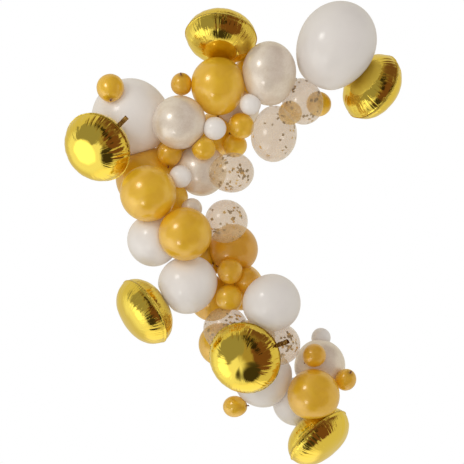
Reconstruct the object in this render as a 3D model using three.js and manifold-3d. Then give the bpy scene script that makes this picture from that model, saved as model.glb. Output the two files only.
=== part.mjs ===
// Balloon garland: latex balloons, clear confetti balloons and round foil balloons, pressed
// together along a slanting, S-shaped run that hangs flat against a wall.
//
// Frame: millimetres, +X to the right, +Z up, and the wall is the plane Y = 0 behind the garland.
// The origin is the middle of the flat where the upper back balloon presses on the wall.
// Every balloon is one closed solid: its skin, its neck and its knot, or its seam and its tail.

import * as THREE from 'three';
import { mergeVertices } from 'three/addons/utils/BufferGeometryUtils.js';
import Module from 'manifold-3d';

const wasm = await Module();
wasm.setup();

// ---------------------------------------------------------------- driving dimensions

const CM = 10;
const TOUCH_GAP = 0.3;
const SMALLEST_DETAIL = 0.05;

const FOIL_RADIUS = 177;
const FOIL_FULLNESS = 0.6;
const SEAM_WIDTH = 6;
const SEAM_THICKNESS = 1.6;
const TAIL_LENGTH = 75;
const TAIL_WIDTH = 24;
const FOIL_SIDES = 18;

const LARGE_SIDES = 12;
const LARGE_RINGS = 5;
const LARGE_NECK = { throat: 5, knot: 8, length: 17 };
const BACK_SIDES = 9;
const MINI_SIDES = 8;
const MINI_RINGS = 4;
const MINI_NECK = { throat: 3.5, knot: 5, length: 10 };
const NECK_SIDE_EXTRA = 0.06;
const PEAR_TAPER = 0.1;
const PEAR_MIDDLE = 0.24;
const NECK_START = THREE.MathUtils.degToRad(142);

// ---------------------------------------------------------------- finishes

const FINISH = {
  foil: { color: 0xd9ad2b, roughness: 0.12, metalness: 1 },
  gold: { color: 0xcd9e2a, roughness: 0.3, metalness: 0.35 },
  white: { color: 0xded6d0, roughness: 0.35, metalness: 0 },
  pearl: { color: 0xd2c4ac, roughness: 0.22, metalness: 0.15 },
  confetti: { color: 0xd6c8ae, roughness: 0.08, metalness: 0 },
};

// ---------------------------------------------------------------- the hanging plan
//
// at: [right, out from the wall, up], in centimetres from the middle of the garland.
// radius: half the width across, in centimetres. long: length over width, where not round.
// neck: the way the neck points, in the same three directions, where it isn't to the run's middle.

const LARGE = [
  { name: 'gold_top', finish: 'gold', at: [-7, 31, 72.5], radius: 13.4, long: 1.08, neck: [0, -0.3, -1] },
  { name: 'gold_left_back', finish: 'gold', at: [-42.5, 15, 27.5], radius: 16.2 },
  { name: 'gold_left_front', finish: 'gold', at: [-41, 39, 19], radius: 13.9 },
  { name: 'gold_left_inner', finish: 'gold', at: [-30, 26, 17], radius: 8 },
  { name: 'gold_middle', finish: 'gold', at: [-23, 41, -1], radius: 13.1 },
  { name: 'gold_waist', finish: 'gold', at: [0.5, 18, -8.5], radius: 12.5 },
  { name: 'gold_low_left', finish: 'gold', at: [-10, 14, -33.5], radius: 11.6 },
  { name: 'gold_low_back', finish: 'gold', at: [-6, 11, -57], radius: 10.9 },
  { name: 'gold_foot', finish: 'gold', at: [40.5, 30, -81], radius: 13, long: 1.04, neck: [0, -1, 0.3] },

  { name: 'white_left', finish: 'white', at: [-51, 18.5, 57.5], radius: 19.7 },
  {
    name: 'white_top_right', finish: 'white',
    at: [51.5, 32, 92.5], radius: 19.2, long: 1.17, neck: [-0.47, -0.25, -0.88],
  },
  { name: 'white_side', finish: 'white', at: [-39, 29, -4], radius: 13 },
  {
    name: 'white_waist_left', finish: 'white',
    at: [-22, 31, -26], radius: 14.3, long: 1.04, neck: [0.8, -0.4, 0.6],
  },
  { name: 'white_waist_right', finish: 'white', at: [19.5, 36, -35], radius: 14.2 },
  { name: 'white_low', finish: 'white', at: [15.5, 18, -73.5], radius: 14.8 },
  { name: 'white_foot', finish: 'white', at: [33, 12, -86], radius: 12.3 },

  { name: 'pearl_left', finish: 'pearl', at: [-26, 35, 54], radius: 13.3 },
  {
    name: 'pearl_top', finish: 'pearl',
    at: [18.5, 33, 78.5], radius: 13.3, long: 1.2, neck: [0.05, -0.3, -1],
  },
  { name: 'pearl_middle', finish: 'pearl', at: [-15.5, 22, 31], radius: 12.8 },
  { name: 'pearl_foot', finish: 'pearl', at: [44.5, 13, -67.5], radius: 12.8 },

  {
    name: 'confetti_right', finish: 'confetti',
    at: [35.2, 26, 65.2], radius: 10.2, long: 1.2, neck: [-0.2, -0.5, 0.8],
  },
  {
    name: 'confetti_top', finish: 'confetti',
    at: [20.8, 32, 48.6], radius: 11.4, long: 1.26, neck: [0.1, -0.4, 1],
  },
  {
    name: 'confetti_middle', finish: 'confetti',
    at: [-0.3, 35, 29.3], radius: 9.9, long: 1.14, neck: [-1, -0.3, -0.1],
  },
  { name: 'confetti_waist', finish: 'confetti', at: [-3, 32, 5.2], radius: 10.7 },
  { name: 'confetti_low_left', finish: 'confetti', at: [-3, 26, -48.5], radius: 11.2 },
  { name: 'confetti_low_right', finish: 'confetti', at: [23.5, 28, -56], radius: 10.4 },
];

// The balloons behind, pressed flat on the wall: they carry the others and hardly show.
const BACK = [
  { name: 'back_hanger', finish: 'pearl', at: [2, 11, 63], radius: 12 },
  { name: 'back_top', finish: 'gold', at: [13, 11.5, 79], radius: 12.5 },
  { name: 'back_right', finish: 'pearl', at: [49, 11, 90], radius: 11.5 },
  { name: 'back_neck', finish: 'gold', at: [-8, 10.8, 50], radius: 11.4 },
  { name: 'back_left', finish: 'gold', at: [-27, 11.5, 46], radius: 12.5 },
  { name: 'back_side', finish: 'white', at: [-34, 11.5, 3], radius: 12 },
  { name: 'back_middle', finish: 'gold', at: [-16, 11.5, -12.5], radius: 12 },
  { name: 'back_waist', finish: 'gold', at: [4, 11.5, -28], radius: 12 },
  { name: 'back_low', finish: 'pearl', at: [12, 9.5, -54], radius: 10 },
];

const MINI = [
  {
    name: 'mini_gold_1', finish: 'gold',
    at: [-25, 31, 73.4], radius: 5.4, long: 1.06, neck: [-0.05, 1, 1],
  },
  {
    name: 'mini_gold_2', finish: 'gold',
    at: [-60, 36, 71], radius: 6.8, long: 1.04, neck: [0.1, 0.75, -1],
  },
  { name: 'mini_gold_3', finish: 'gold', at: [4.5, 28, 53], radius: 6.5, long: 1.04 },
  { name: 'mini_gold_4', finish: 'gold', at: [1.5, 21, 43.5], radius: 6 },
  { name: 'mini_gold_5', finish: 'gold', at: [-14, 35, 41.5], radius: 6 },
  { name: 'mini_gold_6', finish: 'gold', at: [-31, 28, 39], radius: 6.2, neck: [-0.1, 0.3, -1] },
  { name: 'mini_gold_7', finish: 'gold', at: [44, 13, 65], radius: 6.3 },
  { name: 'mini_gold_8', finish: 'gold', at: [29.5, 13, 60.5], radius: 6 },
  { name: 'mini_gold_9', finish: 'gold', at: [-1, 30, -19.5], radius: 6.3, neck: [-1, 0.2, 0.4] },
  { name: 'mini_gold_10', finish: 'gold', at: [7.5, 25, -24], radius: 6.2 },
  { name: 'mini_gold_11', finish: 'gold', at: [-1.5, 28, -33], radius: 6.8 },
  { name: 'mini_gold_12', finish: 'gold', at: [41, 28, -61.5], radius: 5.8 },
  {
    name: 'mini_gold_13', finish: 'gold',
    at: [57, 23, -74], radius: 5.3, long: 1.08, neck: [0.5, 1, 0.95],
  },
  {
    name: 'mini_gold_14', finish: 'gold',
    at: [1.5, 18, -88], radius: 5.4, long: 1.14, neck: [1, 0.3, 0.1],
  },
  { name: 'mini_white_1', finish: 'white', at: [9, 36, 63], radius: 5.3, long: 1.06 },
  { name: 'mini_white_2', finish: 'white', at: [-8.5, 38, 51], radius: 5.7 },
  { name: 'mini_white_3', finish: 'white', at: [-25.5, 34, 27.5], radius: 5.6 },
  { name: 'mini_white_4', finish: 'white', at: [45.5, 6.5, -54], radius: 4.9 },
  { name: 'mini_pearl', finish: 'pearl', at: [-20, 34, 11.5], radius: 5.2 },
];

// face: the way the foil balloon's front side looks. tail: the way its filling tail lies.
const FOIL = [
  { name: 'foil_top', at: [-5.5, 27, 97.5], face: [-0.09, 0.51, -0.85], tail: [0, -1, -0.4] },
  { name: 'foil_right', at: [70.5, 20, 73.2], face: [-0.75, 0.5, 0.44], tail: [-0.3, -0.8, 0.9] },
  { name: 'foil_left', at: [-66.4, 36, 41.8], face: [-0.42, 0.81, -0.41], tail: [0.75, 0.7, 0.66] },
  { name: 'foil_low_left', at: [-43.5, 30, -39.5], face: [-0.78, 0.41, -0.5], tail: [0, -1, 0] },
  { name: 'foil_front', at: [6.3, 41, -61.7], face: [-0.24, 0.95, -0.2], tail: [1, 0.3, 0.42] },
  { name: 'foil_foot', at: [43.5, 21, -102.5], face: [0.61, 0.4, -0.68], tail: [0.6, -0.7, 0.1] },
];

// The middle of the run, in the same centimetres: most necks are tied in towards it.
const RUN = [
  [52, 20, 80],
  [30, 20, 66],
  [4, 20, 60],
  [-22, 20, 48],
  [-34, 20, 24],
  [-28, 20, 2],
  [-8, 20, -14],
  [-2, 20, -34],
  [6, 20, -54],
  [24, 18, -70],
  [40, 18, -88],
];

// ---------------------------------------------------------------- plan to model space

// Right, out and up become +X, -Y and +Z.
function toModel([right, out, up]) {
  return new THREE.Vector3(right, -out, up);
}

// The point nearest to a balloon's middle on the run, which goes straight from point to point.
function nearestRunPoint(middle) {
  const points = RUN.map((point) => new THREE.Vector3(...point));
  let nearest = points[0];
  for (let i = 1; i < points.length; i += 1) {
    const stretch = new THREE.Line3(points[i - 1], points[i]);
    const foot = stretch.closestPointToPoint(middle, true, new THREE.Vector3());
    if (foot.distanceTo(middle) < nearest.distanceTo(middle)) nearest = foot;
  }
  return nearest;
}

function neckDirection(balloon) {
  if (balloon.neck) return toModel(balloon.neck).normalize();
  const middle = new THREE.Vector3(...balloon.at);
  const inward = nearestRunPoint(middle).sub(middle);
  return toModel(inward.toArray()).normalize();
}

// ---------------------------------------------------------------- shapes

// A ring of flat sides drawn this much larger covers the same area as the true circle.
function flatSidesFactor(sides) {
  const step = (2 * Math.PI) / sides;
  return Math.sqrt(step / Math.sin(step));
}

// A latex balloon's outline, from the crown on the axis to the end of the knot on the axis.
function latexProfile(radius, long, rings, neck) {
  const crown = radius * long;
  const shoulder = radius * (long + NECK_SIDE_EXTRA);
  const points = [new THREE.Vector2(0, crown)];
  for (let i = 1; i <= rings; i += 1) {
    const angle = (NECK_START * i) / rings;
    const towardsNeck = (1 - Math.cos(angle)) / 2;
    const width = radius * Math.sin(angle) * (1 + PEAR_TAPER * (PEAR_MIDDLE - towardsNeck ** 2));
    const height = (angle < Math.PI / 2 ? crown : shoulder) * Math.cos(angle);
    points.push(new THREE.Vector2(width, height));
  }
  points.push(new THREE.Vector2(neck.throat, -shoulder - neck.length * 0.1));
  points.push(new THREE.Vector2(neck.knot, -shoulder - neck.length * 0.6));
  points.push(new THREE.Vector2(0, -shoulder - neck.length));
  return points.reverse();
}

// Half the thickness of a foil balloon at a share of its radius: two flat discs of film, sealed
// at the rim and blown up, bulge like this, nearly flat in the middle and steep at the rim.
function foilHalfThickness(share) {
  return FOIL_RADIUS * FOIL_FULLNESS * (1 - share ** 2.6) ** 0.62;
}

function foilProfile() {
  const half = SEAM_THICKNESS / 2;
  const shares = [0.5, 0.8, 0.965];
  const upper = shares.map((share) => new THREE.Vector2(FOIL_RADIUS * share, foilHalfThickness(share)));
  const lower = upper.map((point) => new THREE.Vector2(point.x, -point.y)).reverse();
  return [
    new THREE.Vector2(0, foilHalfThickness(0)),
    ...upper,
    new THREE.Vector2(FOIL_RADIUS + SEAM_WIDTH, half),
    new THREE.Vector2(FOIL_RADIUS + SEAM_WIDTH, -half),
    ...lower,
    new THREE.Vector2(0, -foilHalfThickness(0)),
  ].reverse();
}

function toSolid(geometry) {
  const bare = geometry.clone();
  bare.deleteAttribute('normal');
  bare.deleteAttribute('uv');
  const merged = mergeVertices(bare, 1e-4);
  return new wasm.Manifold(new wasm.Mesh({
    numProp: 3,
    vertProperties: new Float32Array(merged.attributes.position.array),
    triVerts: new Uint32Array(merged.index.array),
  }));
}

function toGeometry(solid) {
  const mesh = solid.getMesh();
  const geometry = new THREE.BufferGeometry();
  geometry.setAttribute('position', new THREE.BufferAttribute(mesh.vertProperties, 3));
  geometry.setIndex(new THREE.BufferAttribute(mesh.triVerts, 1));
  geometry.computeVertexNormals();
  return geometry;
}

// ---------------------------------------------------------------- balloons in place

// A latex balloon, turned so that its neck points the right way.
function latexBalloon(balloon, sides, rings, neck) {
  const radius = balloon.radius * CM;
  const long = balloon.long ?? 1;
  const axis = neckDirection(balloon).negate();
  const centre = toModel(balloon.at).multiplyScalar(CM);
  const drawn = radius * flatSidesFactor(sides);
  const geometry = new THREE.LatheGeometry(latexProfile(drawn, long, rings, neck), sides);
  const turn = new THREE.Quaternion().setFromUnitVectors(new THREE.Vector3(0, 1, 0), axis);
  geometry.applyQuaternion(turn);
  geometry.translate(centre.x, centre.y, centre.z);

  // How far the skin is from the middle in some direction: a spheroid drawn out along its axis.
  const reach = (direction) => {
    const along = direction.dot(axis);
    return radius / Math.sqrt(1 - along ** 2 + (along / long) ** 2);
  };
  return { ...balloon, centre, reach, stiff: false, solid: toSolid(geometry) };
}

// A foil balloon: two bulging sides, a flat seam round the rim and a filling tail on the seam.
function foilBalloon(balloon) {
  const centre = toModel(balloon.at).multiplyScalar(CM);
  const axis = toModel(balloon.face).normalize();
  const along = toModel(balloon.tail).projectOnPlane(axis).normalize();
  const across = new THREE.Vector3().crossVectors(along, axis);
  const place = new THREE.Matrix4().makeBasis(along, axis, across).setPosition(centre);

  const disc = new THREE.LatheGeometry(foilProfile(), FOIL_SIDES);
  const overlap = SEAM_WIDTH * 2;
  const tail = new THREE.BoxGeometry(TAIL_LENGTH + overlap, SEAM_THICKNESS, TAIL_WIDTH);
  tail.translate(FOIL_RADIUS + SEAM_WIDTH - overlap + (TAIL_LENGTH + overlap) / 2, 0, 0);
  disc.applyMatrix4(place);
  tail.applyMatrix4(place);

  // The plane that just touches the foil, square to a direction, is this far from the middle.
  const reach = (direction) => {
    const facing = direction.dot(axis) * FOIL_FULLNESS;
    return FOIL_RADIUS * Math.sqrt(1 - direction.dot(axis) ** 2 + facing ** 2);
  };
  const solid = toSolid(disc).add(toSolid(tail));
  return { ...balloon, finish: 'foil', centre, reach, stiff: true, solid };
}

// ---------------------------------------------------------------- balloons pressed together

// How far from the middle of one balloon the flat lies where it meets another. Two latex
// balloons share the dent; a foil balloon is stiff, so the latex one gives way to it.
function flatDistance(one, other, distance, direction) {
  const mine = one.reach(direction);
  const theirs = other.reach(direction.clone().negate());
  const apart = distance - mine - theirs;
  if (one.stiff === other.stiff) return (distance ** 2 + mine ** 2 - theirs ** 2) / (2 * distance);
  if (apart > 0) return mine + apart / 2;
  return one.stiff ? mine : distance - theirs;
}

// Cuts a balloon flat where each near neighbour and the wall press on it.
function pressFlat(balloon, all) {
  const knotReach = 2 * LARGE_NECK.length;
  let { solid } = balloon;
  for (const other of all) {
    const offset = other.centre.clone().sub(balloon.centre);
    const distance = offset.length();
    const direction = offset.clone().normalize();
    const reaches = balloon.reach(direction) + other.reach(direction.clone().negate());
    if (other !== balloon && distance < reaches + knotReach) {
      const flat = flatDistance(balloon, other, distance, direction) - TOUCH_GAP / 2;
      const keep = direction.clone().negate();
      solid = solid.trimByPlane(keep.toArray(), keep.dot(balloon.centre) - flat);
    }
  }
  return solid.trimByPlane([0, -1, 0], 0).asOriginal().simplify(SMALLEST_DETAIL);
}

// ---------------------------------------------------------------- the garland

const balloons = [
  ...LARGE.map((balloon) => latexBalloon(balloon, LARGE_SIDES, LARGE_RINGS, LARGE_NECK)),
  ...BACK.map((balloon) => latexBalloon(balloon, BACK_SIDES, LARGE_RINGS, LARGE_NECK)),
  ...MINI.map((balloon) => latexBalloon(balloon, MINI_SIDES, MINI_RINGS, MINI_NECK)),
  ...FOIL.map((balloon) => foilBalloon(balloon)),
];

const garland = new THREE.Group();
for (const balloon of balloons) {
  const geometry = toGeometry(pressFlat(balloon, balloons));
  geometry.translate(-balloon.centre.x, -balloon.centre.y, -balloon.centre.z);
  const mesh = new THREE.Mesh(geometry, new THREE.MeshStandardMaterial(FINISH[balloon.finish]));
  mesh.name = balloon.name;
  mesh.position.copy(balloon.centre);
  garland.add(mesh);
}

// The origin goes to the flat of the hanging balloon on the wall.
const hanger = balloons.find((balloon) => balloon.name === 'back_hanger');
garland.position.set(-hanger.centre.x, 0, -hanger.centre.z);

export default garland;
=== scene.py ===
# %% [markdown]
# # A balloon garland
# A garland of blown-up balloons hangs on a wall. Most are latex: gold, plain white, pearl white,
# and clear ones with gold confetti inside. A few are round foil balloons with a crimped seam.
# Every balloon is one surface here, worked out from a profile and then pressed against its
# neighbours, because that is how the real ones get their flats and their soft dents.

# %% The frame, its helpers and a measure of size
import math
import bpy
import numpy as np
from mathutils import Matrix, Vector


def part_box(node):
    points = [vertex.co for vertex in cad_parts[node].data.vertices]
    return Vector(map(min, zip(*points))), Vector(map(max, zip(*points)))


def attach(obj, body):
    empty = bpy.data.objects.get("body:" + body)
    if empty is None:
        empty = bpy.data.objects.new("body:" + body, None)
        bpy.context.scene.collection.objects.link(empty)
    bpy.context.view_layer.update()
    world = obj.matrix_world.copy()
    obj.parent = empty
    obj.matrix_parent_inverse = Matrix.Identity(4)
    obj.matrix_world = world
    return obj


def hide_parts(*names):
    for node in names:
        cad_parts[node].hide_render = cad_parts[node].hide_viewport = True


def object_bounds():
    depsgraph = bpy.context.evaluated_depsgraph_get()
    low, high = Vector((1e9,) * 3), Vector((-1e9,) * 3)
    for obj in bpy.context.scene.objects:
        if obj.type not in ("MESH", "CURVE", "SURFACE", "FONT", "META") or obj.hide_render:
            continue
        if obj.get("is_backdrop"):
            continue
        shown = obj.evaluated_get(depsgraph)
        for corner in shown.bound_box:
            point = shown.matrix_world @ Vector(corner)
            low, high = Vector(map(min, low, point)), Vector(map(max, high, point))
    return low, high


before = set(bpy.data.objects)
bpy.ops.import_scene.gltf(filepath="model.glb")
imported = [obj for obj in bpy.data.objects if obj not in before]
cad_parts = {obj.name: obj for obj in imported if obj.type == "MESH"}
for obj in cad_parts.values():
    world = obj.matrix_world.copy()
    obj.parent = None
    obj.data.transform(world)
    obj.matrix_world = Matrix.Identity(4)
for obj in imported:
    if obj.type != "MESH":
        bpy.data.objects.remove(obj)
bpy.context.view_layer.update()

# %% [markdown]
# ## The hanging plan
# Each balloon has a place, a radius and, where it isn't round, a length. The plan is in
# centimetres: to the right, out from the wall, and up from the middle of the garland. A neck
# direction is given only where the balloon wasn't tied in towards the middle of the run. A list
# is simplest here, because the places were given one by one.

# %% Units and the plan of the big latex balloons
CM = 0.01
MM = 0.001

LARGE = [
    # name, finish, right, out, up, radius, and if need be length over width and neck direction
    ("gold_top", "gold", -7, 31, 72.5, 13.4, 1.08, (0, -0.3, -1)),
    ("gold_left_back", "gold", -42.5, 15, 27.5, 16.2),
    ("gold_left_front", "gold", -41, 39, 19, 13.9),
    ("gold_left_inner", "gold", -30, 26, 17, 8),
    ("gold_middle", "gold", -23, 41, -1, 13.1),
    ("gold_waist", "gold", 0.5, 18, -8.5, 12.5),
    ("gold_low_left", "gold", -10, 14, -33.5, 11.6),
    ("gold_low_back", "gold", -6, 11, -57, 10.9),
    ("gold_foot", "gold", 40.5, 30, -81, 13, 1.04, (0, -1, 0.3)),
    ("white_left", "white", -51, 18.5, 57.5, 19.7),
    ("white_top_right", "white", 51.5, 32, 92.5, 19.2, 1.17, (-0.47, -0.25, -0.88)),
    ("white_side", "white", -39, 29, -4, 13),
    ("white_waist_left", "white", -22, 31, -26, 14.3, 1.04, (0.8, -0.4, 0.6)),
    ("white_waist_right", "white", 19.5, 36, -35, 14.2),
    ("white_low", "white", 15.5, 18, -73.5, 14.8),
    ("white_foot", "white", 33, 12, -86, 12.3),
    ("pearl_left", "pearl", -26, 35, 54, 13.3),
    ("pearl_top", "pearl", 18.5, 33, 78.5, 13.3, 1.2, (0.05, -0.3, -1)),
    ("pearl_middle", "pearl", -15.5, 22, 31, 12.8),
    ("pearl_foot", "pearl", 44.5, 13, -67.5, 12.8),
    ("confetti_right", "clear", 35.2, 26, 65.2, 10.2, 1.2, (-0.2, -0.5, 0.8)),
    ("confetti_top", "clear", 20.8, 32, 48.6, 11.4, 1.26, (0.1, -0.4, 1)),
    ("confetti_middle", "clear", -0.3, 35, 29.3, 9.9, 1.14, (-1, -0.3, -0.1)),
    ("confetti_waist", "clear", -3, 32, 5.2, 10.7),
    ("confetti_low_left", "clear", -3, 26, -48.5, 11.2),
    ("confetti_low_right", "clear", 23.5, 28, -56, 10.4),
    # the balloons behind, lying on the wall
    ("back_hanger", "pearl", 2, 11, 63, 12),
    ("back_top", "gold", 13, 11.5, 79, 12.5),
    ("back_right", "pearl", 49, 11, 90, 11.5),
    ("back_neck", "gold", -8, 10.8, 50, 11.4),
    ("back_left", "gold", -27, 11.5, 46, 12.5),
    ("back_side", "white", -34, 11.5, 3, 12),
    ("back_middle", "gold", -16, 11.5, -12.5, 12),
    ("back_waist", "gold", 4, 11.5, -28, 12),
    ("back_low", "pearl", 12, 9.5, -54, 10),
]
print(len(LARGE), "big latex balloons")

# %% The plan of the small balloons and the foil ones
MINI = [
    ("mini_gold_1", "gold", -25, 31, 73.4, 5.4, 1.06, (-0.05, 1, 1)),
    ("mini_gold_2", "gold", -60, 36, 71, 6.8, 1.04, (0.1, 0.75, -1)),
    ("mini_gold_3", "gold", 4.5, 28, 53, 6.5, 1.04),
    ("mini_gold_4", "gold", 1.5, 21, 43.5, 6),
    ("mini_gold_5", "gold", -14, 35, 41.5, 6),
    ("mini_gold_6", "gold", -31, 28, 39, 6.2, 1, (-0.1, 0.3, -1)),
    ("mini_gold_7", "gold", 44, 13, 65, 6.3),
    ("mini_gold_8", "gold", 29.5, 13, 60.5, 6),
    ("mini_gold_9", "gold", -1, 30, -19.5, 6.3, 1, (-1, 0.2, 0.4)),
    ("mini_gold_10", "gold", 7.5, 25, -24, 6.2),
    ("mini_gold_11", "gold", -1.5, 28, -33, 6.8),
    ("mini_gold_12", "gold", 41, 28, -61.5, 5.8),
    ("mini_gold_13", "gold", 57, 23, -74, 5.3, 1.08, (0.5, 1, 0.95)),
    ("mini_gold_14", "gold", 1.5, 18, -88, 5.4, 1.14, (1, 0.3, 0.1)),
    ("mini_white_1", "white", 9, 36, 63, 5.3, 1.06),
    ("mini_white_2", "white", -8.5, 38, 51, 5.7),
    ("mini_white_3", "white", -25.5, 34, 27.5, 5.6),
    ("mini_white_4", "white", 45.5, 6.5, -54, 4.9),
    ("mini_pearl", "pearl", -20, 34, 11.5, 5.2),
]
FOIL = [
    # name, right, out, up, the way the front looks, the way the tail lies
    ("foil_top", -5.5, 27, 97.5, (-0.09, 0.51, -0.85), (0, -1, -0.4)),
    ("foil_right", 70.5, 20, 73.2, (-0.75, 0.5, 0.44), (-0.3, -0.8, 0.9)),
    ("foil_left", -66.4, 36, 41.8, (-0.42, 0.81, -0.41), (0.75, 0.7, 0.66)),
    ("foil_low_left", -43.5, 30, -39.5, (-0.78, 0.41, -0.5), (0, -1, 0)),
    ("foil_front", 6.3, 41, -61.7, (-0.24, 0.95, -0.2), (1, 0.3, 0.42)),
    ("foil_foot", 43.5, 21, -102.5, (0.61, 0.4, -0.68), (0.6, -0.7, 0.1)),
]
# the middle of the run, from the upper right end to the lower right end
RUN = np.array([
    (52, 20, 80), (30, 20, 66), (4, 20, 60), (-22, 20, 48), (-34, 20, 24), (-28, 20, 2),
    (-8, 20, -14), (-2, 20, -34), (6, 20, -54), (24, 18, -70), (40, 18, -88),
], float)
print(len(MINI), "small latex balloons and", len(FOIL), "foil ones")

# %% [markdown]
# ## From the plan to the frame
# The solid model's origin is the flat of the upper back balloon on the wall. Right, out and up
# become +X, -Y and +Z, and the middle of the garland moves to where that origin wants it.

# %% Directions, middles and necks
HANGER = np.array([2, 0, 63], float)


def to_frame(direction):
    """Right, out, up as a vector of length one in the frame."""
    right, out, up = direction
    vector = np.array([right, -out, up], float)
    return vector / np.linalg.norm(vector)


def middle_of(right, out, up):
    """A place on the plan, less the hanger's, in metres in the frame."""
    return np.array([right - HANGER[0], -out, up - HANGER[2]]) * CM


def tied_in(place):
    """The direction from a balloon's middle to the nearest point of the run's straight parts."""
    start, along = RUN[:-1], np.diff(RUN, axis=0)
    share = ((place - start) * along).sum(1) / (along ** 2).sum(1)
    feet = start + np.clip(share, 0, 1)[:, None] * along
    nearest = feet[np.linalg.norm(feet - place, axis=1).argmin()]
    return to_frame(nearest - place)


low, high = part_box("back_hanger")
print("hanger's box:", [round(v, 3) for v in (*low, *high)])

# %% [markdown]
# ## How far a balloon reaches
# A latex balloon is a sphere drawn out along its neck. A foil one is two discs of film, sealed at
# the rim and blown up, so it is flat: it reaches its full radius only in the plane of its seam.
# These two rules decide where two balloons meet.

# %% One record for each balloon, with its reach
FOIL_RADIUS = 177 * MM
FOIL_FULLNESS = 0.6


def latex_record(name, finish, right, out, up, radius, long=1, neck=None):
    """One row of the latex plans. Along a direction at an angle a to the neck's axis, an outline
    with half length L and radius r reaches r / sqrt(1 - cos^2 a + (cos a * r / L)^2)."""
    place = np.array([right, out, up], float)
    axis = -(to_frame(neck) if neck else tied_in(place))
    radius = radius * CM

    def reach(direction):
        along = direction @ axis
        return radius / math.sqrt(1 - along ** 2 + (along / long) ** 2)

    return dict(name=name, finish=finish, middle=middle_of(*place), radius=radius, long=long,
                axis=axis, reach=reach, stiff=False)


def foil_record(name, right, out, up, face, tail):
    """One row of the foil plan. The tail is turned into the seam's plane, and the reach falls
    from the full radius in that plane to a share of it, the fullness, along the axis."""
    axis = to_frame(face)
    along = to_frame(tail)
    along = along - (along @ axis) * axis
    along /= np.linalg.norm(along)

    def reach(direction):
        facing = direction @ axis
        return FOIL_RADIUS * math.sqrt(1 - facing ** 2 + (facing * FOIL_FULLNESS) ** 2)

    return dict(name=name, finish="foil", middle=middle_of(right, out, up), axis=axis,
                along=along, across=np.cross(along, axis), reach=reach, stiff=True)


large = [latex_record(*row) for row in LARGE]
mini = [latex_record(*row) for row in MINI]
foils = [foil_record(*row) for row in FOIL]
balloons = large + mini + foils
for balloon in balloons:
    low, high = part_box(balloon["name"])
    inside = all(l - MM < c < h + MM for l, c, h in zip(low, balloon["middle"], high))
    assert inside, balloon["name"]
print("every balloon's middle lies in its solid's box")

# %% [markdown]
# ## Pressing balloons together
# Where two latex balloons meet, both give way and the skin goes flat between them. A foil balloon
# is stiff, so the latex one takes the whole dent. A hard cut would leave a sharp rim, so the skin
# is eased onto the flat with a soft step, wider where the press is deeper.

# %% Where the flat between two neighbours lies
TOUCH_GAP = 0.3 * MM


def flat_distance(one, other, distance, direction):
    """How far from one balloon's middle the flat lies: the plane where the two outlines cross for
    balloons of one kind, and the stiff balloon's own outline where latex meets foil."""
    mine, theirs = one["reach"](direction), other["reach"](-direction)
    apart = distance - mine - theirs
    if one["stiff"] == other["stiff"]:
        return (distance ** 2 + mine ** 2 - theirs ** 2) / (2 * distance)
    if apart > 0:
        return mine + apart / 2
    return mine if one["stiff"] else distance - theirs


gold, foil = large[0], foils[0]
offset = foil["middle"] - gold["middle"]
distance = np.linalg.norm(offset)
flat = flat_distance(gold, foil, distance, offset / distance)
print("from", gold["name"], "to its flat on", foil["name"], round(flat / MM), "mm")

# %% Easing the skin onto its flats
KNOT_REACH = 34 * MM
EASE_SHARE, LEAST_EASE, MOST_EASE = 0.3, 0.4 * MM, 4.5 * MM


def ease_onto(points, origin, direction, flat, depth):
    """Moves points back behind a plane: what is past it, smoothed by width w, is
    w * log(1 + exp(past / w)), which is nothing far inside and the whole overlap far outside."""
    width = np.clip(depth * EASE_SHARE, LEAST_EASE, MOST_EASE)
    past = (points - origin) @ direction - flat
    points -= (width * np.logaddexp(0, past / width))[:, None] * direction


def press_flat(points, balloon):
    """Eases a balloon's points, in place, onto the flats of its near neighbours and of the
    wall. A neighbour counts as near while a knot could reach across to it."""
    for other in balloons:
        offset = other["middle"] - balloon["middle"]
        distance = np.linalg.norm(offset)
        if other is balloon or distance == 0:
            continue
        direction = offset / distance
        reaches = balloon["reach"](direction) + other["reach"](-direction)
        if distance < reaches + KNOT_REACH:
            flat = flat_distance(balloon, other, distance, direction) - TOUCH_GAP / 2
            depth = balloon["reach"](direction) - flat
            ease_onto(points, balloon["middle"], direction, flat, depth)
    towards_wall = np.array([0.0, 1.0, 0.0])
    depth = balloon["reach"](towards_wall) + balloon["middle"][1]
    ease_onto(points, np.zeros(3), towards_wall, 0.0, depth)


crown = gold["middle"] + np.array([[0, 0, gold["reach"](np.array([0.0, 0, 1]))]])
eased = crown.copy()
press_flat(eased, gold)
print("the crown of", gold["name"], "gives way by", round(np.linalg.norm(eased - crown) / MM), "mm")

# %% [markdown]
# ## A mesh from a grid
# Every surface here is a grid of rows carried round an axis, closed at each end by one point. The
# same helper makes balloons, foils, tails and flakes, so poles and seams are always closed. Blender
# could add its own spheres and bend them, but a grid lets one formula place every point.

# %% The grid helper
def closed_grid(rows):
    """Vertices and faces of a tube of rings that ends in a point at each end. rows is an array
    [ring, column, xyz]; the first and last rings are drawn together into their mean points."""
    rings, columns = rows.shape[:2]
    first, last = rows[0].mean(0), rows[-1].mean(0)
    points = np.vstack([first, rows[1:-1].reshape(-1, 3), last])
    step = np.arange(columns)
    turn = (step + 1) % columns
    start = 1 + np.arange(rings - 3)[:, None] * columns
    quads = np.stack([start + step, start + turn, start + columns + turn,
                      start + columns + step], -1).reshape(-1, 4)
    end = len(points) - 1
    tail = 1 + (rings - 3) * columns
    fans = np.vstack([np.stack([np.zeros_like(step), 1 + turn, 1 + step], -1),
                      np.stack([np.full_like(step, end), tail + step, tail + turn], -1)])
    return points, quads, fans


print("a grid of 6 rings of 8:", [len(part) for part in closed_grid(np.zeros((6, 8, 3)))])

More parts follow.
